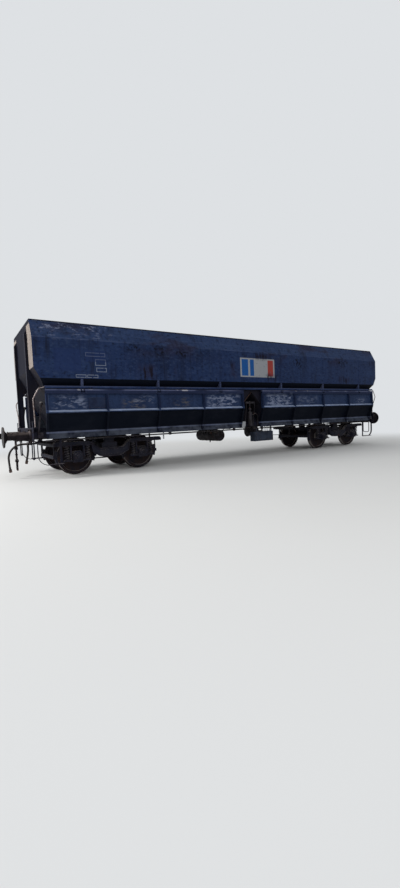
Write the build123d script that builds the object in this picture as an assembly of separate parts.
from build123d import *
from math import radians, sin, tan
import os

# Open hopper wagon on two bogies, whose load runs out to both sides through four hinged doors.
# Millimetres. X runs along the wagon, Y across it and Z up from the floor that its wheel flanges
# stand on. The origin is at the middle of the wagon. Near is the -Y side and left is the -X end.
# A function makes a piece once, at the far side or the right-hand end, and the end of this file
# repeats it at its other places.

# Whole wagon
LENGTH_OVER_BUFFERS = 14540
BUFFER_LENGTH = 620
POST_PROUD = 65
HEADSTOCK_X = LENGTH_OVER_BUFFERS / 2 - BUFFER_LENGTH
END_X = HEADSTOCK_X - POST_PROUD
SHEET = 8
PLATE = 12
SEAT_GAP = 0.3
MOVING_GAP = 8
BEYOND = 200

# Wheels and axles
WHEEL_R = 460
FLANGE_HEIGHT = 28
FLANGE_WIDTH = 32
WHEEL_WIDTH = 135
RIM_DEPTH = 62
WEB_THICK = 24
WEB_LEAN = 30
WEB_FOOT = 14
WHEEL_EDGE = 6
TREAD_RISE = 3
HUB_R = 128
HUB_PROUD = 22
BACK_TO_BACK = 1360
AXLE_SEAT_R = 93
AXLE_R = 82
JOURNAL_R = 60
JOURNAL_GAP = 1
JOURNAL_CENTRES = 2000
JOURNAL_LENGTH = 180
JOURNAL_SHOULDER = 30
AXLE_TAPER = 40
FLANGE_R = WHEEL_R + FLANGE_HEIGHT
AXLE_Z = FLANGE_R
WHEEL_BACK_Y = BACK_TO_BACK / 2
WHEEL_FACE_Y = WHEEL_BACK_Y + WHEEL_WIDTH
BOX_Y = JOURNAL_CENTRES / 2

# Bogies
PIVOT_OVERHANG = 1970
WHEELBASE = 1800
PIVOT_X = HEADSTOCK_X - PIVOT_OVERHANG
AXLE_X = WHEELBASE / 2
BOX_WIDTH = 250
BOX_BEVEL = 50
BOX_TOP_Z = 640
BOX_SHOULDER_Z = 560
BOX_FOOT_Z = 345
BOX_INNER_Y = 900
BOX_OUTER_Y = 1095
BOX_COVER_R = 112
BOX_COVER_THICK = 28
WING_REACH = 345
WING_WIDTH = 130
WING_TOP_Z = 410
WING_THICK = 34
SPRING_X = 262
SPRING_R = 66
SPRING_SEAT_R = 70
SPRING_SEAT = 12
SPRING_COILS = 6
SPRING_CORE_R = 48
GUIDE_X = 168
GUIDE_WIDTH = 44
GUIDE_FOOT_Z = 440
GUIDE_SET_IN = 20
SIDE_WEB_WIDTH = 60
SIDE_FRAME_WIDTH = 130
SIDE_FLANGE = 16
FRAME_OVERHANG = 590
SIDE_FRAME_END_X = AXLE_X + FRAME_OVERHANG
SIDE_FRAME_BEVEL = 40
FRAME_TOP_Z = 880
FRAME_OVER_BOX_Z = 775
FRAME_WAIST_Z = 660
WAIST_FROM_AXLE = 570
SHOULDER_FROM_AXLE = 310
FRAME_WAIST_X = AXLE_X - WAIST_FROM_AXLE
FRAME_SHOULDER_X = AXLE_X - SHOULDER_FROM_AXLE
FRAME_BEND = 110
BELLY_GAP = 33
BELLY_END_X = AXLE_X - SPRING_X - SPRING_SEAT_R - BELLY_GAP
BELLY_RISE = 35
BELLY_RUN = 240
BELLY_RISE_X = BELLY_END_X - BELLY_RISE
BELLY_RISE_Z = 560
BELLY_X = BELLY_RISE_X - BELLY_RUN
BELLY_Z = 430
BELLY_BEND = 200
BELLY_RISE_BEND = 90
CORNER_BEND = 25
SIDE_FRAME_INNER_Y = BOX_Y - SIDE_FRAME_WIDTH / 2
END_BEAM_WIDTH = 80
END_BEAM_FOOT_Z = 765
BOLSTER_HALF = 210
BOLSTER_FOOT_Z = 520
BOLSTER_TOP_Z = 800
TRANSOM_WIDTH = 60
TRANSOM_Z = 640
BEARER_Y = 850
BEARER_LENGTH = 260
BEARER_WIDTH = 120
BEARER_GAP = 3
PIVOT_R = 150
PIVOT_GAP = 1
BOWL_WALL = 40
BOWL_TOP_Z = 930
BOWL_FLOOR_Z = 880

# Brake gear on the bogies
SHOE_GAP = 8
SHOE_THICK = 50
SHOE_WIDTH = 84
SHOE_ANGLE = 20
SHOE_Y = 762
BEAM_GAP = 22
BEAM_THICK = 50
BEAM_DEPTH = 80
BEAM_HALF = 800
HANGER_WIDTH = 40
HANGER_THICK = 20
HANGER_SET_IN = 10
TRANSOM_X = AXLE_X - FLANGE_R - BEAM_GAP - TRANSOM_WIDTH / 2

# Underframe
SOLE_Y = 1190
SOLE_WIDTH = 90
SOLE_TOP_Z = 1160
SOLE_FOOT_Z = 1020
SILL_Y = 210
SILL_WIDTH = 90
SILL_TOP_Z = 1262
SILL_FOOT_Z = 1000
BODY_BOLSTER_PLATE = 24
BODY_BOLSTER_TOP_Z = 1240
BEARER_TOP_Z = SILL_FOOT_Z - BODY_BOLSTER_PLATE - PLATE - BEARER_GAP
HEADSTOCK_TOP_Z = 1280
HEADSTOCK_FOOT_Z = 930
HEADSTOCK_FLANGE = 100
HEADSTOCK_Y = 1290
JOISTS_TO_BOLSTER = 3
JOIST_WIDTH = 70
JOIST_PITCH = PIVOT_X / (JOISTS_TO_BOLSTER + 1)
END_JOIST_X = (PIVOT_X + BOLSTER_HALF + HEADSTOCK_X) / 2
LAMP_IRON_Y = 1160
LAMP_IRON_WIDTH = 90
LAMP_IRON_HEIGHT = 150

# Body above the doors
SIDE_Y = 1450
TOP_Y = 1220
TOP_Z = 3840
FOLD_Z = 3388
PANEL_FOOT_Z = 2438
UNDER_Y = 1290
RIM_WIDTH = 62
RIM_HEIGHT = 55
SLOPE_TOP_Z = 2690
SLOPE_ANGLE = 62
RAIL_TOP_Z = 2258
RAIL_FOOT_Z = 2198
RAIL_INNER_Y = 1280
SADDLE_TOP_Z = 2478
SADDLE_FOOT_Y = 1195
CENTRE_HALF = 380
CENTRE_APEX_Z = 2128
CENTRE_EAVES_Z = 1740
LUG_WIDTH = 60
LUG_SET_IN = 4

# Doors
DOOR_CENTRE_GAP = 10
DOOR_END_GAP = 290
DOOR_INNER_X = CENTRE_HALF + DOOR_CENTRE_GAP
DOOR_OUTER_X = HEADSTOCK_X - DOOR_END_GAP
DOOR_LENGTH = DOOR_OUTER_X - DOOR_INNER_X
HINGE_PITCH = 2100
HINGE_X = [(DOOR_INNER_X + DOOR_OUTER_X) / 2 + shift for shift in (-HINGE_PITCH, 0, HINGE_PITCH)]
DOOR_BAYS = 4
RIB_WIDTH = 50
RIB_PROUD = 6
RIB_SET_IN = 3
DOOR_TOP_Z = 2178
DOOR_CHANNEL_FOOT_Z = 2068
DOOR_CHANNEL_Y = 1465
DOOR_PANEL_Y = 1400
LEDGE_TOP_Z = 1675
LEDGE_NOSE_Y = 1482
LEDGE_NOSE_Z = 1630
LEDGE_FOOT_Z = 1604
LOWER_TOP_Y = 1412
LOWER_TOP_Z = 1588
LIP_Y = 1228
LIP_Z = 1160
DOOR_FOOT_Y = 1300
DOOR_FOOT_Z = 990
POST_WIDTH = 60
POST_DEPTH = 100
HINGE_Y = 1445
HINGE_Z = 2150
HINGE_PIN_R = 15
HINGE_PIN_GAP = 1
HINGE_EYE_R = 28
TONGUE_WIDTH = 30
EAR_GAP = 5
EAR_WIDTH = 12
NOTCH_HALF = 50
NOTCH_BACK = 45
NOTCH_DROP = 52

# Ends
END_POST_Y = 850
END_POST_WIDTH = 100
END_POST_TOP_Z = 3660
END_POST_BEVEL = 100
END_POST_DEPTH = 150
END_POST_KNEE_Z = 2300
BUFFER_Y = 875
BUFFER_Z = 1073
BUFFER_HEAD_R = 250
BUFFER_HEAD_THICK = 32
BUFFER_PLUNGER_R = 82
BUFFER_CASING_R = 108
BUFFER_CASING_LENGTH = 330
BUFFER_COLLAR = 24
BUFFER_BASE = 350
HOOK_Z = 1073
HOOK_THICK = 60
HOOK_PLATE = 260
HOOK_SHANK = 45
HOOK_X = 250
HOOK_R = 110
HOOK_DROP = 10
THROAT_X = 252
THROAT_R = 38
COUPLING_X = 235
COUPLING_DROP = 76
COUPLING_TOP_Z = HOOK_Z - COUPLING_DROP
COUPLING_NUT_Z = 760
COUPLING_LOW_NUT_Z = 430
COUPLING_LOW_Z = 190
COUPLING_BAR_R = 20
COUPLING_BEND = 25
COUPLING_Y = 58
NUT_SIZE = 68
NUT_LENGTH = 170
SCREW_R = 22
SCREW_GRIP = 30
SCREW_LEVER_R = 11
SCREW_LEVER_LENGTH = 210
STEP_WIDTH = 320
STEP_DEPTH = 210
STEP_Z = 360
STEP_BAR = 14
STEP_STRAP = 56
STEP_BEND = 250
STEP_STRAP_IN = 80
STEP_X = HEADSTOCK_X - STEP_STRAP_IN - STEP_BEND
GRIP_Y = 950
GRIP_HALF = 130
GRIP_DROP = 430
GRIP_SET_IN = 25
GRIP_R = 14
GRIP_BEND = 60
HANDRAIL_R = 13
HANDRAIL_BEND = 90
HANDRAIL_RUN = 250
HANDRAIL_SET_IN = 60
HANDRAIL_FOOT_X = 50
HANDRAIL_FOOT_Y = 20
LATCH_SET_IN = 220
LATCH_X = HEADSTOCK_X - LATCH_SET_IN
LATCH_WIDTH = 115
LATCH_DEPTH = 90
LATCH_FOOT_Z = 1035
LATCH_TOP_Z = 1150
LATCH_BAR = 36
LATCH_BAR_THICK = 14
LATCH_LEAN = 25
LATCH_KNOB_Z = 1850
LATCH_KNOB_R = 45

# Air gear
RESERVOIR_R = 190
RESERVOIR_LENGTH = 1300
RESERVOIR_DOME = 80
RESERVOIR_X = -760
RESERVOIR_Z = 760
STRAP_WIDTH = 60
DOOR_CYLINDER_R = 70
DOOR_CYLINDER_LENGTH = 420
DOOR_ROD_R = 18
DOOR_ROD_LENGTH = 330
CROSS_LEVER_HALF = 190
CROSS_LEVER_DEPTH = 60
CROSS_LEVER_THICK = 40
VALVE_X = 300
VALVE_WIDTH = 110
VALVE_DEPTH = 80
VALVE_FOOT_Z = 1045
CYLINDER_R = 165
CYLINDER_LENGTH = 420
CYLINDER_FLANGE = 20
CYLINDER_ROD_R = 26
CYLINDER_ROD_LENGTH = 260
CYLINDER_HANGER_IN = 60
CYLINDER_X = 900
CYLINDER_Z = 800
CASING_X = 310
CASING_LENGTH = 820
CASING_DEPTH = 240
CASING_HEIGHT = 320
CASING_FOOT_Z = 500
CASING_COVER_IN = 40
CASING_STRAP = 12
CASING_STRAP_IN = 90
CASING_PIPES = 4
CASING_PIPES_IN = 370
CASING_PIPE_PITCH = 95
CASING_PIPE_R = 13
SHAFT_R = 20
SHAFT_Y = 1148
SHAFT_GAP = 16
SHAFT_BEARING = 60
SHAFT_SHELL = 34
HANDLE_X = 3180
HANDLE_WIDTH = 36
HANDLE_BOSS_R = 24
HANDLE_BOSS_LENGTH = 36
HANDLE_TOP_Z = 1060
HANDLE_FOOT_Z = 800
HOSE_R = 25
HOSE_HEAD_R = 34
HOSE_HEAD_LENGTH = 80
CLAW_WIDTH = 36
CLAW_HEIGHT = 70
CLAW_LENGTH = 50
COCK_R = 27
COCK_LONG_Y = -420
COCK_SHORT_Y = -620
COCK_Z = 870
COCK_BACK = 60
COCK_ELBOW = 40
COCK_MOUTH = 65
COCK_BRACKET_HALF = 30
COCK_BRACKET_SET_IN = 10


def block(x0, x1, y0, y1, z0, z1):
    """A box between two corners."""
    middle = Pos((x0 + x1) / 2, (y0 + y1) / 2, (z0 + z1) / 2)
    return middle * Box(abs(x1 - x0), abs(y1 - y0), abs(z1 - z0))


def prism_x(points, x0, x1):
    """A (y, z) outline drawn out along X."""
    face = make_face(Polyline(*[(x0, y, z) for y, z in points], close=True))
    return extrude(face, amount=x1 - x0, dir=(1, 0, 0))


def prism_y(points, y0, y1):
    """An (x, z) outline drawn out along Y."""
    face = make_face(Polyline(*[(x, y0, z) for x, z in points], close=True))
    return extrude(face, amount=y1 - y0, dir=(0, 1, 0))


def drum_x(radius, x0, x1, y, z):
    return Pos((x0 + x1) / 2, y, z) * Rot(0, 90, 0) * Cylinder(radius, abs(x1 - x0))


def drum_y(radius, y0, y1, x, z):
    return Pos(x, (y0 + y1) / 2, z) * Rot(90, 0, 0) * Cylinder(radius, abs(y1 - y0))


def drum_z(radius, z0, z1, x, y):
    return Pos(x, y, (z0 + z1) / 2) * Cylinder(radius, abs(z1 - z0))


def folded(line, thick):
    """The outline of a folded sheet: a line, then its copy that lies thick to the line's right."""
    points = [Vector(*point) for point in line]
    runs = [(after - before).normalized() for before, after in zip(points, points[1:])]
    sides = [Vector(run.Y, -run.X) for run in runs]
    back = [points[0] + sides[0] * thick]
    for point, before, after in zip(points[1:], sides, sides[1:]):
        mitre = before + after
        back.append(point + mitre * (2 * thick / mitre.length ** 2))
    back.append(points[-1] + sides[-1] * thick)
    return [(point.X, point.Y) for point in points + back[::-1]]


def bar(points, radius, bend):
    """A round bar along a line of points, bent with equal arcs."""
    path = FilletPolyline(*points, radius=bend)
    return sweep(Plane(origin=path @ 0, z_dir=path % 0) * Circle(radius), path)


def near(part):
    return mirror(part, about=Plane.XZ)


def left(part):
    return mirror(part, about=Plane.YZ)


def two_ends(part):
    return [part, left(part)]


def four(part):
    """A piece at one corner, repeated at the other three."""
    return [part, near(part), left(part), near(left(part))]


def save(name, parts):
    """Writes one node. Pieces of a list stay solids of their own."""
    solids = [solid for part in parts for solid in part.solids()]
    shape = solids[0] if len(solids) == 1 else Compound(children=solids)
    export_step(shape, f"parts/{name}.step")


def slope_x(z, inside=0):
    """Where an end's sloping sheet is at a height, on its outer face or so far inside it."""
    angle = radians(SLOPE_ANGLE)
    return END_X - (SLOPE_TOP_Z - z) / tan(angle) - inside / sin(angle)


def without_corners(part, inside=0):
    """Cuts away what lies outside both sloping sheets, so far inside their outer faces."""
    foot = SOLE_FOOT_Z - BEYOND
    reach = HEADSTOCK_X + BEYOND
    outline = [(slope_x(SLOPE_TOP_Z, inside), SLOPE_TOP_Z), (slope_x(foot, inside), foot),
               (reach, foot), (reach, SLOPE_TOP_Z)]
    cutter = prism_y(outline, -SIDE_Y - BEYOND, SIDE_Y + BEYOND)
    return part - cutter - left(cutter)


# The side sheet's outer face, from its foot on the rail to the top edge (y, z)
SIDE_LINE = [(UNDER_Y, RAIL_TOP_Z), (SIDE_Y, PANEL_FOOT_Z), (SIDE_Y, FOLD_Z), (TOP_Y, TOP_Z)]
SIDE_OUTLINE = folded(SIDE_LINE[::-1], SHEET)
SIDE_INNER = SIDE_OUTLINE[len(SIDE_LINE):]

# The outer face of the posts that a door shuts against (y, z)
POST_Y = DOOR_PANEL_Y - SHEET - MOVING_GAP
POST_LINE = [(SADDLE_FOOT_Y, SOLE_TOP_Z), (POST_Y, LOWER_TOP_Z), (POST_Y, RAIL_FOOT_Z)]

# What is free inside one side of the hopper, from the saddle's foot to the top edge (y, z)
INSIDE_LINE = POST_LINE + [(RAIL_INNER_Y, RAIL_FOOT_Z), (RAIL_INNER_Y, RAIL_TOP_Z)] + SIDE_INNER

# The saddle's upper face (y, z)
SADDLE_LINE = [(-SADDLE_FOOT_Y, SOLE_TOP_Z), (0, SADDLE_TOP_Z), (SADDLE_FOOT_Y, SOLE_TOP_Z)]


def hopper_inside():
    mirrored = [(-y, z) for y, z in INSIDE_LINE[::-1]]
    return prism_x(INSIDE_LINE + mirrored, -HEADSTOCK_X, HEADSTOCK_X)


def side_sheet():
    sheet = prism_x(SIDE_OUTLINE, -END_X, END_X)
    rim = block(-END_X, END_X, TOP_Y + SHEET - RIM_WIDTH, TOP_Y + SHEET, TOP_Z - RIM_HEIGHT, TOP_Z)
    return without_corners(sheet + rim)


def end_sheet():
    rim_foot = TOP_Z - RIM_HEIGHT
    rim_y = TOP_Y + SHEET - RIM_WIDTH
    sheet = block(END_X - SHEET, END_X, -SIDE_Y, SIDE_Y, SLOPE_TOP_Z, rim_foot) & hopper_inside()
    sheet -= block(0, END_X, rim_y, SIDE_Y, rim_foot - SEAT_GAP, rim_foot)
    return sheet + block(END_X - RIM_WIDTH, END_X, -rim_y, rim_y, rim_foot, TOP_Z)


def slope_sheet():
    """An end's sloping floor, from the end sheet's foot down to the underframe."""
    slab = [(slope_x(SLOPE_TOP_Z), SLOPE_TOP_Z), (slope_x(SLOPE_TOP_Z, SHEET), SLOPE_TOP_Z),
            (slope_x(SOLE_TOP_Z, SHEET), SOLE_TOP_Z), (slope_x(SOLE_TOP_Z), SOLE_TOP_Z)]
    sheet = prism_y(slab, -SIDE_Y, SIDE_Y) & hopper_inside()
    return sheet - block(0, END_X, -SILL_Y, SILL_Y, 0, SILL_TOP_Z)


def saddle_floor():
    """The roof-shaped floor that turns the load out to both sides."""
    floor = without_corners(prism_x(folded(SADDLE_LINE, SHEET), -END_X, END_X), SHEET)
    return floor - block(-END_X, END_X, -SIDE_Y, SIDE_Y, SOLE_FOOT_Z, SOLE_TOP_Z)


def centre_saddle():
    """The small roof across the wagon over the gear between the doors, with its two walls."""
    line = [(-CENTRE_HALF, SOLE_TOP_Z), (-CENTRE_HALF, CENTRE_EAVES_Z), (0, CENTRE_APEX_Z),
            (CENTRE_HALF, CENTRE_EAVES_Z), (CENTRE_HALF, SOLE_TOP_Z)]
    roof = prism_y(folded(line, SHEET), -SIDE_Y, SIDE_Y) & hopper_inside()
    return roof - prism_x(SADDLE_LINE, -END_X, END_X)


def door_post(x):
    """A post that a door shuts against, from the sole bar up to the rail."""
    back = [(y - POST_DEPTH, z) for y, z in POST_LINE[::-1]]
    post = prism_x(POST_LINE + back, x - POST_WIDTH / 2, x + POST_WIDTH / 2)
    return post - slope_sheet() - prism_x(SADDLE_LINE, -END_X, END_X)


def rail():
    """The rail that two doors hang from, with its hinge ears and the lugs that prop the panel."""
    section = [(RAIL_INNER_Y, RAIL_FOOT_Z), (RAIL_INNER_Y, RAIL_TOP_Z),
               (SIDE_Y, RAIL_TOP_Z), (SIDE_Y, RAIL_FOOT_Z)]
    beam = prism_x(folded(section, PLATE), -DOOR_OUTER_X, DOOR_OUTER_X)
    pitch = (PANEL_FOOT_Z - RAIL_TOP_Z) / (SIDE_Y - UNDER_Y)
    lug_top = PANEL_FOOT_Z - LUG_SET_IN * pitch - SEAT_GAP
    lug_outline = [(UNDER_Y + LUG_SET_IN, RAIL_TOP_Z), (SIDE_Y - LUG_SET_IN, RAIL_TOP_Z),
                   (SIDE_Y - LUG_SET_IN, lug_top)]
    for x in HINGE_X:
        for middle in (-x, x):
            beam += prism_x(lug_outline, middle - LUG_WIDTH / 2, middle + LUG_WIDTH / 2)
            for side in (-1, 1):
                x0 = middle + side * (TONGUE_WIDTH / 2 + EAR_GAP)
                x1 = x0 + side * EAR_WIDTH
                beam += block(x0, x1, HINGE_Y - HINGE_EYE_R, SIDE_Y, HINGE_Z, RAIL_TOP_Z - PLATE)
                beam += drum_x(HINGE_EYE_R, x0, x1, HINGE_Y, HINGE_Z)
            bore = HINGE_PIN_R + HINGE_PIN_GAP
            beam -= drum_x(bore, middle - LUG_WIDTH, middle + LUG_WIDTH, HINGE_Y, HINGE_Z)
    return beam


# A door sheet's outer face, from its top edge down to the foot of its lip (y, z)
DOOR_LINE = [(DOOR_PANEL_Y, DOOR_TOP_Z), (DOOR_PANEL_Y, LEDGE_TOP_Z), (LEDGE_NOSE_Y, LEDGE_NOSE_Z),
             (LEDGE_NOSE_Y, LEDGE_FOOT_Z), (LOWER_TOP_Y, LOWER_TOP_Z), (LIP_Y, LIP_Z),
             (DOOR_FOOT_Y, DOOR_FOOT_Z)]

# A door rib's outline, down its outer edge and back up inside the sheet (y, z)
RIB_LINE = [(DOOR_CHANNEL_Y - RIB_SET_IN, DOOR_CHANNEL_FOOT_Z + RIB_SET_IN),
            (LEDGE_NOSE_Y + RIB_PROUD, LEDGE_NOSE_Z + RIB_PROUD),
            (LEDGE_NOSE_Y + RIB_PROUD, LEDGE_FOOT_Z - RIB_PROUD),
            (DOOR_FOOT_Y + RIB_SET_IN, DOOR_FOOT_Z + RIB_PROUD),
            (LIP_Y - SHEET / 2, LIP_Z), (LOWER_TOP_Y - SHEET / 2, LOWER_TOP_Z),
            (DOOR_PANEL_Y - SHEET / 2, LEDGE_TOP_Z),
            (DOOR_PANEL_Y - SHEET / 2, DOOR_CHANNEL_FOOT_Z + RIB_SET_IN)]


def door():
    """The far side's right-hand door, shut."""
    x0 = DOOR_INNER_X
    x1 = DOOR_OUTER_X
    leaf = prism_x(folded(DOOR_LINE, SHEET), x0, x1)
    channel = [(DOOR_PANEL_Y, DOOR_TOP_Z), (DOOR_CHANNEL_Y, DOOR_TOP_Z),
               (DOOR_CHANNEL_Y, DOOR_CHANNEL_FOOT_Z), (DOOR_PANEL_Y, DOOR_CHANNEL_FOOT_Z)]
    leaf += prism_x(folded(channel, SHEET), x0, x1)
    bay = (DOOR_LENGTH - RIB_WIDTH) / DOOR_BAYS
    for count in range(DOOR_BAYS + 1):
        start = x0 + count * bay
        leaf += prism_x(RIB_LINE, start, start + RIB_WIDTH)
    half = TONGUE_WIDTH / 2
    notch_foot = HINGE_Z - NOTCH_DROP
    for x in HINGE_X:
        leaf -= block(x - NOTCH_HALF, x + NOTCH_HALF, HINGE_Y - NOTCH_BACK, SIDE_Y + BEYOND,
                      notch_foot, RAIL_TOP_Z)
        leaf += block(x - half, x + half, DOOR_PANEL_Y - SHEET, HINGE_Y,
                      notch_foot - SHEET, HINGE_Z - HINGE_EYE_R / 2)
        leaf += drum_x(HINGE_EYE_R, x - half, x + half, HINGE_Y, HINGE_Z)
        pin_half = half + EAR_GAP + EAR_WIDTH
        leaf += drum_x(HINGE_PIN_R, x - pin_half, x + pin_half, HINGE_Y, HINGE_Z)
    return leaf


def centre_sill_beam():
    """The far one of the two channels along the middle, its back outwards."""
    section = [(SILL_Y - SILL_WIDTH, SILL_TOP_Z), (SILL_Y, SILL_TOP_Z), (SILL_Y, SILL_FOOT_Z),
               (SILL_Y - SILL_WIDTH, SILL_FOOT_Z)]
    return prism_x(folded(section, PLATE), PLATE - HEADSTOCK_X, HEADSTOCK_X - PLATE)


def sole_bar():
    """The far side's channel under the saddle's foot, from headstock to headstock."""
    section = [(SOLE_Y - SOLE_WIDTH, SOLE_TOP_Z), (SOLE_Y, SOLE_TOP_Z), (SOLE_Y, SOLE_FOOT_Z),
               (SOLE_Y - SOLE_WIDTH, SOLE_FOOT_Z)]
    return prism_x(folded(section, PLATE), PLATE - HEADSTOCK_X, HEADSTOCK_X - PLATE)


def headstock():
    """An end's channel across the wagon, with its two upright lamp irons."""
    inner = HEADSTOCK_X - HEADSTOCK_FLANGE
    section = [(inner, HEADSTOCK_TOP_Z), (HEADSTOCK_X, HEADSTOCK_TOP_Z), (HEADSTOCK_X, HEADSTOCK_FOOT_Z),
               (inner, HEADSTOCK_FOOT_Z)]
    beam = prism_y(folded(section, PLATE), -HEADSTOCK_Y, HEADSTOCK_Y)
    iron = block(HEADSTOCK_X - PLATE, HEADSTOCK_X, LAMP_IRON_Y, LAMP_IRON_Y + LAMP_IRON_WIDTH,
                 HEADSTOCK_TOP_Z, HEADSTOCK_TOP_Z + LAMP_IRON_HEIGHT)
    return beam + iron + near(iron)


def joist(x):
    """A joist from the centre sill out to the far sole bar."""
    half = JOIST_WIDTH / 2
    top = SOLE_TOP_Z - PLATE
    foot = SOLE_FOOT_Z + PLATE
    section = [(x - half, top), (x + half, top), (x + half, foot), (x - half, foot)]
    return prism_y(folded(section, PLATE), SILL_Y, SOLE_Y - PLATE)


def body_bolster():
    """The beam over a bogie, with its pivot and the plates for the side bearers."""
    web_x = BOLSTER_HALF - PLATE
    reach = SOLE_Y - SOLE_WIDTH
    plate_foot = SILL_FOOT_Z - BODY_BOLSTER_PLATE
    beam = block(-BOLSTER_HALF, BOLSTER_HALF, -SOLE_Y, SOLE_Y, plate_foot, SILL_FOOT_Z)
    beam += drum_z(PIVOT_R, BOWL_FLOOR_Z + SEAT_GAP, plate_foot, 0, 0)
    for side in (-1, 1):
        beam += block(-BOLSTER_HALF, BOLSTER_HALF, side * SILL_Y, side * reach,
                      BODY_BOLSTER_TOP_Z - PLATE, BODY_BOLSTER_TOP_Z)
        for end in (-1, 1):
            beam += block(end * (web_x - PLATE), end * web_x, side * SILL_Y, side * reach,
                          SILL_FOOT_Z, BODY_BOLSTER_TOP_Z)
        beam += block(-BEARER_LENGTH / 2, BEARER_LENGTH / 2, side * BEARER_Y - BEARER_WIDTH / 2,
                      side * BEARER_Y + BEARER_WIDTH / 2, plate_foot - PLATE, plate_foot)
    return Pos(PIVOT_X, 0, 0) * beam


def end_post():
    """A stiffener of the end sheet that runs down to the headstock: a web and a face plate."""
    bevel_z = END_POST_TOP_Z - END_POST_BEVEL
    inner = HEADSTOCK_X - END_POST_DEPTH
    web = [(HEADSTOCK_X, HEADSTOCK_TOP_Z), (HEADSTOCK_X, bevel_z), (END_X, END_POST_TOP_Z),
           (END_X, SLOPE_TOP_Z), (slope_x(END_POST_KNEE_Z), END_POST_KNEE_Z),
           (inner, END_POST_KNEE_Z - END_POST_DEPTH), (inner, HEADSTOCK_TOP_Z)]
    post = prism_y(web, END_POST_Y - PLATE / 2, END_POST_Y + PLATE / 2)
    return post + block(HEADSTOCK_X - PLATE, HEADSTOCK_X, END_POST_Y - END_POST_WIDTH / 2,
                        END_POST_Y + END_POST_WIDTH / 2, HEADSTOCK_TOP_Z, bevel_z)


def turned_x(profile, y, z):
    """A piece turned about a line along X, out of its half outline (x, radius)."""
    face = make_face(Polyline(*[(x, y + radius, z) for x, radius in profile], close=True))
    return revolve(face, axis=Axis((0, y, z), (1, 0, 0)))


def buffer_casing():
    half = BUFFER_BASE / 2
    end = HEADSTOCK_X + BUFFER_CASING_LENGTH
    base = block(HEADSTOCK_X, HEADSTOCK_X + PLATE, BUFFER_Y - half, BUFFER_Y + half,
                 BUFFER_Z - half, BUFFER_Z + half)
    collar_r = BUFFER_CASING_R + PLATE
    barrel = [(HEADSTOCK_X, 0), (HEADSTOCK_X, BUFFER_CASING_R + 2 * PLATE),
              (HEADSTOCK_X + 2 * PLATE, BUFFER_CASING_R + 2 * PLATE),
              (HEADSTOCK_X + 4 * PLATE, BUFFER_CASING_R), (end - BUFFER_COLLAR, BUFFER_CASING_R),
              (end - BUFFER_COLLAR, collar_r), (end, collar_r), (end, 0)]
    return base + turned_x(barrel, BUFFER_Y, BUFFER_Z)


def buffer_head():
    """The plunger and its flat round head, whose back runs into the plunger in a cone."""
    face = HEADSTOCK_X + BUFFER_LENGTH
    back = face - BUFFER_HEAD_THICK
    start = HEADSTOCK_X + BUFFER_CASING_LENGTH
    edge = BUFFER_HEAD_THICK / 4
    profile = [(start, 0), (start, BUFFER_PLUNGER_R), (back - 2 * BUFFER_HEAD_THICK, BUFFER_PLUNGER_R),
               (back, BUFFER_HEAD_R - 2 * BUFFER_HEAD_THICK), (back, BUFFER_HEAD_R - edge),
               (back + edge, BUFFER_HEAD_R), (face, BUFFER_HEAD_R), (face, 0)]
    return turned_x(profile, BUFFER_Y, BUFFER_Z)


def draw_hook():
    """The hook on its plate: a shank, a round head and the throat that opens upwards."""
    half = HOOK_PLATE / 2
    thick = HOOK_THICK / 2
    head_x = HEADSTOCK_X + HOOK_X
    head_z = HOOK_Z - HOOK_DROP
    throat_x = HEADSTOCK_X + THROAT_X
    plate = block(HEADSTOCK_X, HEADSTOCK_X + PLATE, -half, half, HOOK_Z - half, HOOK_Z + half)
    hook = block(HEADSTOCK_X, head_x, -thick, thick, HOOK_Z - HOOK_SHANK, HOOK_Z + HOOK_SHANK)
    head = drum_y(HOOK_R, -thick, thick, head_x, head_z)
    head -= block(head_x - HOOK_R, throat_x - THROAT_R, -thick, thick, HOOK_Z + HOOK_SHANK, head_z + HOOK_R)
    hook += head
    hook -= drum_y(THROAT_R, -thick, thick, throat_x, HOOK_Z)
    hook -= block(throat_x - THROAT_R, throat_x + THROAT_R, -thick, thick, HOOK_Z, HOOK_Z + HOOK_R)
    eye = drum_y(COUPLING_BAR_R + SEAT_GAP, -thick, thick, HEADSTOCK_X + COUPLING_X, COUPLING_TOP_Z)
    return plate + (hook - eye)


def shackle(end_z, bow_z):
    """A U of round bar in the coupling's plane, from the ends in its nut to the bow."""
    x = HEADSTOCK_X + COUPLING_X
    line = [(x, COUPLING_Y, end_z), (x, COUPLING_Y, bow_z), (x, -COUPLING_Y, bow_z), (x, -COUPLING_Y, end_z)]
    return bar(line, COUPLING_BAR_R, COUPLING_BEND)


def screw_coupling():
    """The coupling that hangs from the hook: a shackle, the screw between its nuts, the bow below."""
    x = HEADSTOCK_X + COUPLING_X
    half = NUT_SIZE / 2
    piece = shackle(COUPLING_NUT_Z, COUPLING_TOP_Z) + shackle(COUPLING_LOW_NUT_Z, COUPLING_LOW_Z)
    for nut_z in (COUPLING_NUT_Z, COUPLING_LOW_NUT_Z):
        piece += block(x - half, x + half, -NUT_LENGTH / 2, NUT_LENGTH / 2, nut_z - half, nut_z + half)
    middle = (COUPLING_NUT_Z + COUPLING_LOW_NUT_Z) / 2
    piece += drum_z(SCREW_R, COUPLING_LOW_NUT_Z, COUPLING_NUT_Z, x, 0)
    piece += drum_y(SCREW_GRIP, -SCREW_GRIP, SCREW_GRIP, x, middle)
    return piece + drum_y(SCREW_LEVER_R, 0, SCREW_LEVER_LENGTH, x, middle)


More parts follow.
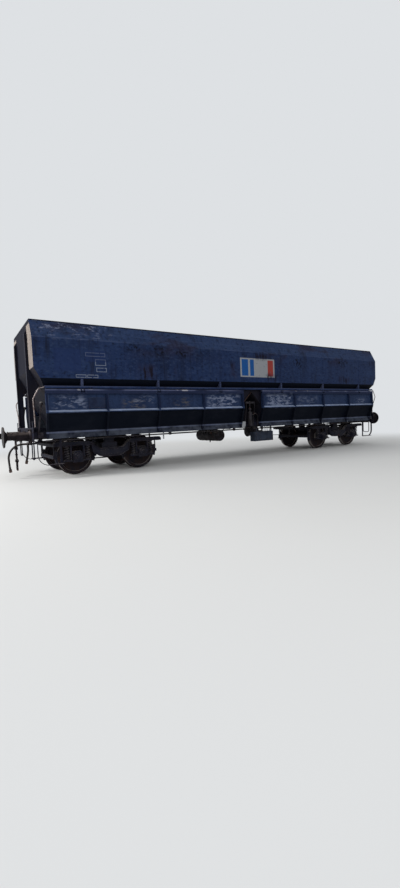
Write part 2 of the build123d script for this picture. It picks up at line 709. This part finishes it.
def step():
    """A corner's step: its tread, a strap up to the sole bar and a bent one to the headstock."""
    x0 = STEP_X - STEP_WIDTH
    inner = SOLE_Y + STEP_BAR
    strap_x = HEADSTOCK_X - STEP_STRAP_IN
    strap_y = inner + STEP_STRAP / 2
    strap_z = STEP_Z - STEP_BAR / 2
    path = FilletPolyline((strap_x, strap_y, HEADSTOCK_FOOT_Z), (strap_x, strap_y, strap_z),
                          (x0, strap_y, strap_z), radius=STEP_BEND)
    start = Plane(origin=path @ 0, x_dir=(0, 1, 0), z_dir=path % 0)
    piece = sweep(start * Rectangle(STEP_STRAP, STEP_BAR), path)
    piece += block(x0, STEP_X, inner, SOLE_Y + STEP_DEPTH, STEP_Z, STEP_Z + STEP_BAR)
    return piece + block(x0, x0 + STEP_STRAP, SOLE_Y, inner, strap_z - STEP_BAR / 2, SOLE_TOP_Z - STEP_BAR)


def coupler_handle():
    """The round bar under a buffer that a shunter holds when stooping to the coupling."""
    x = HEADSTOCK_X - GRIP_SET_IN
    foot_z = HEADSTOCK_FOOT_Z - GRIP_DROP
    line = [(x, GRIP_Y - GRIP_HALF, HEADSTOCK_FOOT_Z), (x, GRIP_Y - GRIP_HALF, foot_z),
            (x, GRIP_Y + GRIP_HALF, foot_z), (x, GRIP_Y + GRIP_HALF, HEADSTOCK_FOOT_Z)]
    return bar(line, GRIP_R, GRIP_BEND)


def handrail():
    """The grab rail from the end of the door rail, bowed outwards, down to the headstock."""
    side = SIDE_Y - HANDRAIL_SET_IN
    foot_x = HEADSTOCK_X - HANDRAIL_FOOT_X
    foot_y = HEADSTOCK_Y - HANDRAIL_FOOT_Y
    bow_x = HEADSTOCK_X - HANDRAIL_FOOT_Y
    points = [(DOOR_OUTER_X, side, (RAIL_TOP_Z + RAIL_FOOT_Z) / 2),
              ((DOOR_OUTER_X + bow_x) / 2, side, RAIL_FOOT_Z), (bow_x, side, RAIL_FOOT_Z - HANDRAIL_RUN),
              (foot_x, foot_y, HEADSTOCK_TOP_Z + HANDRAIL_RUN), (foot_x, foot_y, HEADSTOCK_TOP_Z)]
    return bar(points, HANDRAIL_R, HANDRAIL_BEND)


def door_latch():
    """The lock of a door's outer end: its box on the sole bar and its lever with a round weight."""
    x0 = LATCH_X
    y1 = SOLE_Y + LATCH_DEPTH
    foot = [(x0 + LATCH_WIDTH - LATCH_BAR, LATCH_TOP_Z), (x0 + LATCH_WIDTH, LATCH_TOP_Z),
            (x0 + LATCH_BAR - LATCH_LEAN, LATCH_KNOB_Z), (x0 - LATCH_LEAN, LATCH_KNOB_Z)]
    middle = SOLE_Y + LATCH_DEPTH / 2
    piece = block(x0, x0 + LATCH_WIDTH, SOLE_Y, y1, LATCH_FOOT_Z, LATCH_TOP_Z)
    piece += prism_y(foot, middle - LATCH_BAR_THICK / 2, middle + LATCH_BAR_THICK / 2)
    return piece + Pos(x0 + LATCH_BAR / 2 - LATCH_LEAN, middle, LATCH_KNOB_Z) * Sphere(LATCH_KNOB_R)


def reservoir():
    """The air tank that lies across the wagon, in two straps from the centre sill."""
    outer = RESERVOIR_R + PLATE
    tank = fillet(Cylinder(RESERVOIR_R, RESERVOIR_LENGTH).edges().filter_by(GeomType.CIRCLE), RESERVOIR_DOME)
    tank = Pos(RESERVOIR_X, 0, RESERVOIR_Z) * Rot(90, 0, 0) * tank
    for side in (-1, 1):
        y = side * (SILL_Y - SILL_WIDTH / 2)
        tank += block(RESERVOIR_X - outer, RESERVOIR_X + outer, y - STRAP_WIDTH / 2, y + STRAP_WIDTH / 2,
                      RESERVOIR_Z, SILL_FOOT_Z)
    return tank


def brake_cylinder():
    x1 = CYLINDER_X + CYLINDER_LENGTH
    piece = drum_x(CYLINDER_R, CYLINDER_X, x1, 0, CYLINDER_Z)
    piece += drum_x(CYLINDER_R + CYLINDER_FLANGE, CYLINDER_X, CYLINDER_X + CYLINDER_FLANGE, 0, CYLINDER_Z)
    piece += drum_x(CYLINDER_ROD_R, x1, x1 + CYLINDER_ROD_LENGTH, 0, CYLINDER_Z)
    for side in (-1, 1):
        y = side * (SILL_Y - SILL_WIDTH / 2)
        piece += block(CYLINDER_X + CYLINDER_HANGER_IN, x1 - CYLINDER_HANGER_IN, y - PLATE / 2, y + PLATE / 2,
                       CYLINDER_Z, SILL_FOOT_Z)
    return piece


def door_cylinder():
    """The upright air cylinder that works the doors of one side, with its bracket, rod and cross lever."""
    y = SOLE_Y + DOOR_CYLINDER_R + MOVING_GAP
    foot = SOLE_FOOT_Z + PLATE
    top = foot + PLATE + DOOR_CYLINDER_LENGTH
    rod_top = top + DOOR_ROD_LENGTH
    piece = block(-DOOR_CYLINDER_R, DOOR_CYLINDER_R, SOLE_Y, y + DOOR_CYLINDER_R, foot, foot + PLATE)
    piece += drum_z(DOOR_CYLINDER_R, foot + PLATE, top, 0, y)
    piece += drum_z(DOOR_ROD_R, top, rod_top, 0, y)
    thick = CROSS_LEVER_THICK / 2
    deep = CROSS_LEVER_DEPTH / 2
    return piece + block(-CROSS_LEVER_HALF, CROSS_LEVER_HALF, y - thick, y + thick,
                         rod_top - deep, rod_top + deep)


def door_valve():
    """The near side's valve box beside the door cylinder."""
    return block(-VALVE_X - VALVE_WIDTH / 2, -VALVE_X + VALVE_WIDTH / 2, -SOLE_Y - VALVE_DEPTH, -SOLE_Y,
                 VALVE_FOOT_Z, VALVE_FOOT_Z + VALVE_WIDTH)


def valve_casing():
    """The near side's casing under the sole bar, hung in two straps, with the pipes that rise from it."""
    x1 = CASING_X + CASING_LENGTH
    top = CASING_FOOT_Z + CASING_HEIGHT
    face = SOLE_WIDTH - SOLE_Y - CASING_STRAP
    cover = CASING_STRAP / 2
    lid = block(CASING_X + CASING_COVER_IN, x1 - CASING_COVER_IN, face - cover, face,
                CASING_FOOT_Z + CASING_COVER_IN, top - CASING_COVER_IN)
    piece = lid + block(CASING_X, x1, face, face + CASING_DEPTH, CASING_FOOT_Z, top)
    for x in (CASING_X + CASING_STRAP_IN, x1 - CASING_STRAP_IN):
        piece += block(x - STRAP_WIDTH / 2, x + STRAP_WIDTH / 2, face, face + CASING_STRAP, top, SOLE_FOOT_Z)
    for count in range(CASING_PIPES):
        x = CASING_X + CASING_PIPES_IN + count * CASING_PIPE_PITCH
        piece += drum_z(CASING_PIPE_R, top, SOLE_FOOT_Z, x, face + CASING_STRAP / 2)
    return piece


def door_shaft():
    """The shaft under the far sole bar that works a door, in bearings halfway between the joists."""
    z = SILL_FOOT_Z - BODY_BOLSTER_PLATE - SHAFT_GAP - SHAFT_R
    piece = drum_x(SHAFT_R, DOOR_CYLINDER_R + SHAFT_BEARING, DOOR_OUTER_X, SHAFT_Y, z)
    for count in range(JOISTS_TO_BOLSTER + 2):
        x = (count + 0.5) * JOIST_PITCH
        piece += block(x - SHAFT_BEARING / 2, x + SHAFT_BEARING / 2, SHAFT_Y - SHAFT_SHELL,
                       SHAFT_Y + SHAFT_SHELL, z, SOLE_FOOT_Z)
        piece += drum_x(SHAFT_SHELL, x - SHAFT_BEARING / 2, x + SHAFT_BEARING / 2, SHAFT_Y, z)
    return piece


def changeover_handle():
    """The near side's brake handle on its boss at the sole bar."""
    boss_y = -SOLE_Y - HANDLE_BOSS_LENGTH
    piece = drum_y(HANDLE_BOSS_R, boss_y, -SOLE_Y, -HANDLE_X, HANDLE_TOP_Z)
    return piece + block(-HANDLE_X - HANDLE_WIDTH / 2, -HANDLE_X + HANDLE_WIDTH / 2, boss_y, boss_y + PLATE,
                         HANDLE_FOOT_Z, HANDLE_TOP_Z)


def cock(y, down):
    """A brake pipe's end cock under the left headstock, its mouth outwards or down."""
    x = -HEADSTOCK_X
    piece = block(x + COCK_BRACKET_SET_IN, x + COCK_BACK, y - COCK_BRACKET_HALF, y + COCK_BRACKET_HALF,
                  COCK_Z, HEADSTOCK_FOOT_Z)
    piece += drum_x(COCK_R, x - COCK_ELBOW, x + COCK_BACK, y, COCK_Z)
    if down:
        elbow = Pos(x - COCK_ELBOW, y, COCK_Z) * Sphere(COCK_R)
        return piece + drum_z(COCK_R, COCK_Z - COCK_ELBOW, COCK_Z, x - COCK_ELBOW, y) + elbow
    return piece + drum_x(COCK_R, x - COCK_MOUTH, x - COCK_ELBOW, y, COCK_Z)


def at_left(route):
    """A route's points at the left end."""
    return [(-HEADSTOCK_X - out, y, z) for out, y, z in route]


def at_right(route):
    """A route's points at the right end, half a turn round."""
    return [(HEADSTOCK_X + out, -y, z) for out, y, z in route]


# The brake hoses' routes from the cock's mouth to the head (out from the headstock, y, z)
LONG_ROUTE = [(COCK_MOUTH, COCK_LONG_Y, COCK_Z), (200, COCK_LONG_Y, COCK_Z), (325, -424, 818),
              (420, -428, 723), (472, -431, 598), (474, -432, 463), (464, -430, 340), (456, -427, 262)]
SHORT_ROUTE = [(COCK_ELBOW, COCK_SHORT_Y, COCK_Z - COCK_ELBOW), (COCK_ELBOW, COCK_SHORT_Y, 735),
               (53, -627, 640), (74, -631, 548), (90, -630, 460)]


def hose(route):
    """A hose of straight runs and the largest tangent arcs between them, and its end's plane."""
    points = [Vector(*point) for point in route]
    runs = [after - before for before, after in zip(points, points[1:])]
    radii = []
    for before, after in zip(runs, runs[1:]):
        half_turn = radians(before.get_angle(after) / 2)
        radii.append(0.45 * min(before.length, after.length) / tan(half_turn))
    path = FilletPolyline(*route, radius=radii)
    tube = sweep(Plane(origin=path @ 0, z_dir=path % 0) * Circle(HOSE_R), path)
    print("hose", round(path.length), "mm, radii", [round(radius) for radius in radii])
    return tube, Plane(origin=path @ 1, z_dir=path % 1)


def hose_head(end):
    """The coupling head on a hose: a ferrule and the claw that locks to its mate."""
    head = extrude(end * Circle(HOSE_HEAD_R), amount=HOSE_HEAD_LENGTH)
    claw = Pos(0, HOSE_HEAD_R, HOSE_HEAD_LENGTH - CLAW_LENGTH / 2) * Box(CLAW_WIDTH, CLAW_HEIGHT, CLAW_LENGTH)
    return head + end * claw


def turned_y(profile):
    """A piece turned about Y, out of its half outline (radius, y)."""
    face = make_face(Polyline(*[(radius, y, 0) for radius, y in profile], close=True))
    return revolve(face, axis=Axis.Y)


def wheel():
    """The far wheel of a set: hub, dished web, rim and flange."""
    back = WHEEL_BACK_Y
    face = WHEEL_FACE_Y
    rim_r = WHEEL_R - RIM_DEPTH
    web = (back + face) / 2
    half = WEB_THICK / 2
    return turned_y([(AXLE_SEAT_R, back - HUB_PROUD), (HUB_R, back - HUB_PROUD),
                     (HUB_R + WEB_FOOT, web - half - WEB_LEAN), (rim_r - WEB_FOOT, web - half),
                     (rim_r, back), (FLANGE_R - WHEEL_EDGE, back), (FLANGE_R, back + WHEEL_EDGE),
                     (FLANGE_R, back + FLANGE_WIDTH / 2), (WHEEL_R + TREAD_RISE, back + FLANGE_WIDTH),
                     (WHEEL_R, face - WHEEL_EDGE), (WHEEL_R - WHEEL_EDGE, face), (rim_r, face),
                     (rim_r - WEB_FOOT, web + half), (HUB_R + WEB_FOOT, web + half - WEB_LEAN),
                     (HUB_R, face + HUB_PROUD), (AXLE_SEAT_R, face + HUB_PROUD)])


def axle():
    """A plain axle: body, wheel seats and the journals that run in the boxes."""
    seat_end = WHEEL_FACE_Y + HUB_PROUD
    seat_start = WHEEL_BACK_Y - HUB_PROUD
    end = (JOURNAL_CENTRES + JOURNAL_LENGTH) / 2
    half = [(JOURNAL_R, end), (JOURNAL_R, seat_end + JOURNAL_SHOULDER), (AXLE_SEAT_R, seat_end),
            (AXLE_SEAT_R, seat_start), (AXLE_R, seat_start - AXLE_TAPER)]
    return turned_y([(0, end)] + half + [(radius, -y) for radius, y in half[::-1]] + [(0, -end)])


def bogie_side():
    """The far side frame: a fish-bellied plate girder with guides for its two axle boxes."""
    end = SIDE_FRAME_END_X
    shoulder_z = FRAME_TOP_Z - SIDE_FRAME_BEVEL
    half_top = [(end, shoulder_z), (end - SIDE_FRAME_BEVEL, FRAME_TOP_Z), (FRAME_SHOULDER_X, FRAME_TOP_Z),
                (FRAME_WAIST_X, FRAME_WAIST_Z)]
    half_low = [(end, shoulder_z), (end, FRAME_OVER_BOX_Z), (BELLY_END_X, FRAME_OVER_BOX_Z),
                (BELLY_RISE_X, BELLY_RISE_Z), (BELLY_X, BELLY_Z)]
    top_bends = [CORNER_BEND, FRAME_BEND, FRAME_BEND]
    low_bends = [WHEEL_EDGE, CORNER_BEND, BELLY_RISE_BEND, BELLY_BEND]
    top = FilletPolyline(*half_top, *[(-x, z) for x, z in half_top[::-1]], radius=top_bends + top_bends[::-1])
    low = FilletPolyline(*half_low, *[(-x, z) for x, z in half_low[::-1]], radius=low_bends + low_bends[::-1])
    outline = make_face([top, low])
    core = offset(outline, amount=-SIDE_FLANGE)
    upright = Plane(origin=(0, BOX_Y, 0), x_dir=(1, 0, 0), z_dir=(0, -1, 0))
    frame = extrude(upright * (outline - core), amount=SIDE_FRAME_WIDTH / 2, both=True)
    frame += extrude(upright * outline, amount=SIDE_WEB_WIDTH / 2, both=True)
    half = SIDE_FRAME_WIDTH / 2 - GUIDE_SET_IN
    for axle_x in (-AXLE_X, AXLE_X):
        for side in (-1, 1):
            x = axle_x + side * GUIDE_X
            frame += block(x - GUIDE_WIDTH / 2, x + GUIDE_WIDTH / 2, BOX_Y - half, BOX_Y + half,
                           GUIDE_FOOT_Z, FRAME_OVER_BOX_Z + SIDE_FLANGE)
    return frame


def bogie_bolster():
    """The box beam between the side frames, with the pivot's bowl and the two side bearers."""
    inner = SIDE_FRAME_INNER_Y
    beam = block(-BOLSTER_HALF, BOLSTER_HALF, -inner, inner, BOLSTER_FOOT_Z, BOLSTER_TOP_Z)
    bearer = block(-BEARER_LENGTH / 2, BEARER_LENGTH / 2,
                   BEARER_Y - BEARER_WIDTH / 2, BEARER_Y + BEARER_WIDTH / 2, BOLSTER_TOP_Z, BEARER_TOP_Z)
    beam += bearer + near(bearer)
    beam += drum_z(PIVOT_R + PIVOT_GAP + BOWL_WALL, BOLSTER_TOP_Z, BOWL_TOP_Z, 0, 0)
    return beam - drum_z(PIVOT_R + PIVOT_GAP, BOWL_FLOOR_Z, BOWL_TOP_Z, 0, 0)


def bogie_beams():
    """The bolster, and what else joins the side frames: two transoms and two end beams."""
    inner = SIDE_FRAME_INNER_Y
    half = TRANSOM_WIDTH / 2
    transom = block(TRANSOM_X - half, TRANSOM_X + half, -inner, inner, TRANSOM_Z - half, TRANSOM_Z + half)
    end_beam = block(SIDE_FRAME_END_X - END_BEAM_WIDTH, SIDE_FRAME_END_X, -inner, inner,
                     END_BEAM_FOOT_Z, FRAME_TOP_Z - SIDE_FRAME_BEVEL)
    return [bogie_bolster()] + two_ends(transom) + two_ends(end_beam)


def axle_box():
    """The far axle box of an axle at x = 0, with the wings that carry its springs."""
    half = BOX_WIDTH / 2
    bevel_x = half - BOX_BEVEL
    outline = [(-half, BOX_FOOT_Z), (half, BOX_FOOT_Z), (half, BOX_SHOULDER_Z), (bevel_x, BOX_TOP_Z),
               (-bevel_x, BOX_TOP_Z), (-half, BOX_SHOULDER_Z)]
    box = prism_y(outline, BOX_INNER_Y, BOX_OUTER_Y)
    box += block(-WING_REACH, WING_REACH, BOX_Y - WING_WIDTH / 2, BOX_Y + WING_WIDTH / 2,
                 WING_TOP_Z - WING_THICK, WING_TOP_Z)
    box += drum_y(BOX_COVER_R, BOX_OUTER_Y, BOX_OUTER_Y + BOX_COVER_THICK, 0, AXLE_Z)
    bore_end = BOX_Y + JOURNAL_LENGTH / 2 + 2 * JOURNAL_GAP
    return box - drum_y(JOURNAL_R + JOURNAL_GAP, BOX_INNER_Y, bore_end, 0, AXLE_Z)


def turned_z(profile, x, y):
    """A piece turned about a line along Z, out of its half outline (radius, z)."""
    face = make_face(Polyline(*[(x + radius, y, z) for radius, z in profile], close=True))
    return revolve(face, axis=Axis((x, y, 0), (0, 0, 1)))


def spring():
    """A coil spring between an axle box's wing and the frame, as level rings between its two seats."""
    low = WING_TOP_Z + SPRING_SEAT
    top = FRAME_OVER_BOX_Z - SPRING_SEAT
    pitch = (top - low) / SPRING_COILS
    profile = [(0, WING_TOP_Z), (SPRING_SEAT_R, WING_TOP_Z), (SPRING_SEAT_R, low)]
    for count in range(SPRING_COILS):
        foot = low + count * pitch
        profile += [(SPRING_CORE_R, foot), (SPRING_R, foot + pitch / 3), (SPRING_R, foot + pitch * 2 / 3)]
    profile += [(SPRING_CORE_R, top), (SPRING_SEAT_R, top), (SPRING_SEAT_R, FRAME_OVER_BOX_Z),
                (0, FRAME_OVER_BOX_Z)]
    return turned_z(profile, SPRING_X, BOX_Y)


def brake_beam(hanger_top):
    """A beam beyond the wheels of an axle at x = 0, with its two shoes and their hangers."""
    x0 = FLANGE_R + BEAM_GAP
    inner_r = WHEEL_R + SHOE_GAP
    outer_r = inner_r + SHOE_THICK
    reach = outer_r + SHOE_THICK
    rise = outer_r * tan(radians(SHOE_ANGLE))
    wedge = [(0, AXLE_Z), (reach, AXLE_Z - rise), (reach, AXLE_Z + rise)]
    half = HANGER_WIDTH / 2
    hanger_x = x0 + HANGER_SET_IN
    ring = drum_y(outer_r, SHOE_Y - SHOE_WIDTH / 2, SHOE_Y + SHOE_WIDTH / 2, 0, AXLE_Z)
    ring -= drum_y(inner_r, SHOE_Y - SHOE_WIDTH / 2, SHOE_Y + SHOE_WIDTH / 2, 0, AXLE_Z)
    shoe = ring & prism_y(wedge, 0, BOX_Y)
    hanger = block(hanger_x, hanger_x + HANGER_THICK, SHOE_Y - half, SHOE_Y + half, AXLE_Z, hanger_top)
    beam = block(x0, x0 + BEAM_THICK, -BEAM_HALF, BEAM_HALF, AXLE_Z - BEAM_DEPTH / 2, AXLE_Z + BEAM_DEPTH / 2)
    return beam + shoe + near(shoe) + hanger + near(hanger)


os.makedirs("parts", exist_ok=True)

# Underframe
sole = sole_bar()
sill = centre_sill_beam()
save("centre_sill", [sill, near(sill)])
save("sole_bars", [sole, near(sole)])
save("headstocks", two_ends(headstock()))
save("body_bolsters", two_ends(body_bolster()))
joist_x = [count * JOIST_PITCH for count in range(-JOISTS_TO_BOLSTER, JOISTS_TO_BOLSTER + 1)]
joists = [joist(x) for x in [-END_JOIST_X, *joist_x, END_JOIST_X]]
save("crossmembers", joists + [near(piece) for piece in joists])

# Body
sheet = side_sheet()
save("side_sheet_far", [sheet])
save("side_sheet_near", [near(sheet)])
save("end_sheets", two_ends(end_sheet()))
save("slope_sheets", two_ends(slope_sheet()))
save("saddle_floor", [saddle_floor()])
save("centre_saddle", [centre_saddle()])
posts = [door_post(x) for x in (DOOR_INNER_X + POST_WIDTH / 2, DOOR_OUTER_X - POST_WIDTH)]
save("door_posts", [piece for post in posts for piece in four(post)])
beam = rail()
save("rail_far", [beam])
save("rail_near", [near(beam)])
save("end_posts", four(end_post()))

# Doors
leaf = door()
save("door_far_right", [leaf])
save("door_near_right", [near(leaf)])
save("door_far_left", [left(leaf)])
save("door_near_left", [near(left(leaf))])

# Ends
save("buffer_casings", four(buffer_casing()))
save("buffer_heads", four(buffer_head()))
save("draw_hooks", two_ends(draw_hook()))
save("screw_couplings", two_ends(screw_coupling()))
save("steps", four(step()))
save("coupler_handles", four(coupler_handle()))
save("handrails", four(handrail()))
save("door_latches", four(door_latch()))
cocks = [cock(COCK_LONG_Y, False), cock(COCK_SHORT_Y, True)]
save("brake_cocks", cocks + [Rot(0, 0, 180) * piece for piece in cocks])
hose_routes = {"long_left": at_left(LONG_ROUTE), "short_left": at_left(SHORT_ROUTE),
               "long_right": at_right(LONG_ROUTE), "short_right": at_right(SHORT_ROUTE)}
for name, route in hose_routes.items():
    tube, end = hose(route)
    save(f"hose_{name}", [tube])
    save(f"hose_head_{name}", [hose_head(end)])

# Air gear under the middle
save("air_reservoir", [reservoir()])
save("brake_cylinder", [brake_cylinder()])
gear = door_cylinder()
save("door_gear", [gear, near(gear), door_valve(), Rot(0, 0, 180) * door_valve()])
save("valve_casing", [valve_casing()])
save("door_shafts", four(door_shaft()))
save("changeover_handles", [changeover_handle(), Rot(0, 0, 180) * changeover_handle()])

# Bogies, each with two wheelsets: column 1 is the bogie's name, column 2 its pivot's x
side_frame = bogie_side()
beams = bogie_beams()
box = axle_box()
nest = spring()
outer_beam = Pos(AXLE_X, 0, 0) * brake_beam(END_BEAM_FOOT_Z)
inner_beam = Pos(AXLE_X, 0, 0) * left(brake_beam(TRANSOM_Z - TRANSOM_WIDTH / 2))
wheel_far = wheel()
axle_bar = axle()
for name, pivot_x in (("left", -PIVOT_X), ("right", PIVOT_X)):
    at_pivot = Pos(pivot_x, 0, 0)
    boxes = []
    nests = []
    for axle_x in (-AXLE_X, AXLE_X):
        at_axle = Pos(pivot_x + axle_x, 0, 0)
        boxes += [at_axle * box, at_axle * near(box)]
        nests += [at_axle * piece for piece in four(nest)]
    save(f"bogie_sides_{name}", [at_pivot * side_frame, at_pivot * near(side_frame)])
    save(f"bogie_beams_{name}", [at_pivot * piece for piece in beams])
    save(f"axle_boxes_{name}", boxes)
    save(f"springs_{name}", nests)
    brake_beams = two_ends(outer_beam) + two_ends(inner_beam)
    save(f"brake_gear_{name}", [at_pivot * piece for piece in brake_beams])
    for side, axle_x in (("a", -AXLE_X), ("b", AXLE_X)):
        at_axle = Pos(pivot_x + axle_x, 0, AXLE_Z)
        save(f"axle_{name}_{side}", [at_axle * axle_bar])
        save(f"wheels_{name}_{side}", [at_axle * wheel_far, at_axle * near(wheel_far)])
